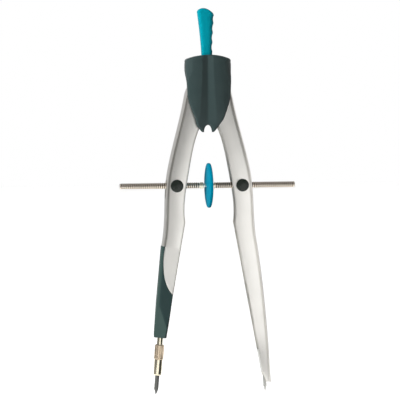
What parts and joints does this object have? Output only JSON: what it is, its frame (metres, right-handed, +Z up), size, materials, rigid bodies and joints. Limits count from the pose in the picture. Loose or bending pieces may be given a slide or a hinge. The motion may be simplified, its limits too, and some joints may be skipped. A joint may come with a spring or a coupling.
{
  "type": "bow compass",
  "caption": "Drafting bow compass: ribbed handle, lobed geared head, bowed channel legs, cross screw with thumb wheel, clamped lead and steel needle.",
  "frame": {"origin": "midway between the lead tip and the needle tip, on the paper", "axes": "+Z up towards the handle, +X along the cross screw towards the needle leg, +Y away from the viewer of the front"},
  "size_m": [0.0825, 0.021, 0.18],
  "materials": {
    "head_shell": "fine moulded satin",
    "teal_grip": "moulded satin gloss",
    "leg_nickel": "satin plated pressing",
    "screw_nickel": "rolled thread, warm plating",
    "holder_nickel": "bright plated brass",
    "pin_steel": "turned",
    "gear_resin": "moulded",
    "trunnion_black": "moulded satin",
    "graphite": "drawing lead"
  },
  "bodies": {
    "head": {"head_front_cover": "head_shell", "head_rear_cover": "head_shell", "cover_screws": "pin_steel", "handle": "teal_grip", "left_pivot_pin": "pin_steel", "right_pivot_pin": "pin_steel", "pivot_washers": "gear_resin"},
    "right_leg": {"right_leg": "leg_nickel", "right_gear_sector": "gear_resin", "right_gear_rivet": "pin_steel", "needle_holder": "holder_nickel", "needle": "pin_steel"},
    "left_leg": {"left_leg": "leg_nickel", "left_gear_sector": "gear_resin", "left_gear_rivet": "pin_steel", "lead_arm": "head_shell", "lead_shank": "screw_nickel", "lead_collet": "holder_nickel"},
    "right_trunnion": {"right_trunnion": "trunnion_black", "right_trunnion_cap": "trunnion_black"},
    "left_trunnion": {"left_trunnion": "trunnion_black", "left_trunnion_cap": "trunnion_black"},
    "spindle_collars": {"spindle_collars": "screw_nickel"},
    "spindle": {"spindle": "screw_nickel", "thumb_wheel": "teal_grip"},
    "chuck_sleeve": {"chuck_sleeve": "holder_nickel"},
    "chuck_collar": {"chuck_collar": "holder_nickel"},
    "lead": {"lead": "graphite"}
  },
  "joints": [
    {"name": "right_leg_swing", "type": "hinge", "parent": "head", "child": "right_leg", "pos_m": [0.0048, 0, 0.14242], "axis": [0, -1, 0], "range_deg": [-9.5, 32]},
    {"name": "left_leg_swing", "type": "hinge", "parent": "head", "child": "left_leg", "pos_m": [-0.0048, 0, 0.14242], "axis": [0, 1, 0], "range_deg": [-9.5, 32]},
    {"name": "right_trunnion_turn", "type": "hinge", "parent": "right_leg", "child": "right_trunnion", "pos_m": [0.0154, 0, 0.09708], "axis": [0, 1, 0], "range_deg": [-9.5, 32]},
    {"name": "left_trunnion_turn", "type": "hinge", "parent": "left_leg", "child": "left_trunnion", "pos_m": [-0.0154, 0, 0.09708], "axis": [0, -1, 0], "range_deg": [-9.5, 32]},
    {"name": "spindle_travel", "type": "slide", "parent": "right_trunnion", "child": "spindle_collars", "axis": [-1, 0, 0], "range_m": [-0.007, 0.0236]},
    {"name": "wheel_spin", "type": "hinge", "parent": "spindle_collars", "child": "spindle", "pos_m": [0, 0, 0.09708], "axis": [1, 0, 0], "range_deg": [-2510, 8450]},
    {"name": "chuck_travel", "type": "slide", "parent": "left_leg", "child": "chuck_sleeve", "axis": [-0.088, 0, -0.9961], "range_m": [0, 0.0008]},
    {"name": "chuck_turn", "type": "hinge", "parent": "chuck_sleeve", "child": "chuck_collar", "pos_m": [-0.02585, 0, 0], "axis": [-0.088, 0, -0.9961], "range_deg": [0, 580]},
    {"name": "lead_slide", "type": "slide", "parent": "left_leg", "child": "lead", "axis": [-0.088, 0, -0.9961], "range_m": [-0.006, 0.008]}
  ],
  "couplings": [
    {"joint": "left_leg_swing", "follows": "right_leg_swing", "ratio": 1},
    {"joint": "right_trunnion_turn", "follows": "right_leg_swing", "ratio": 1},
    {"joint": "left_trunnion_turn", "follows": "right_leg_swing", "ratio": 1},
    {"joint": "spindle_travel", "follows": "right_leg_swing", "m_per_rad": 0.042},
    {"joint": "wheel_spin", "follows": "right_leg_swing", "ratio": 263.89},
    {"joint": "chuck_turn", "follows": "chuck_travel", "rad_per_m": 12566}
  ]
}
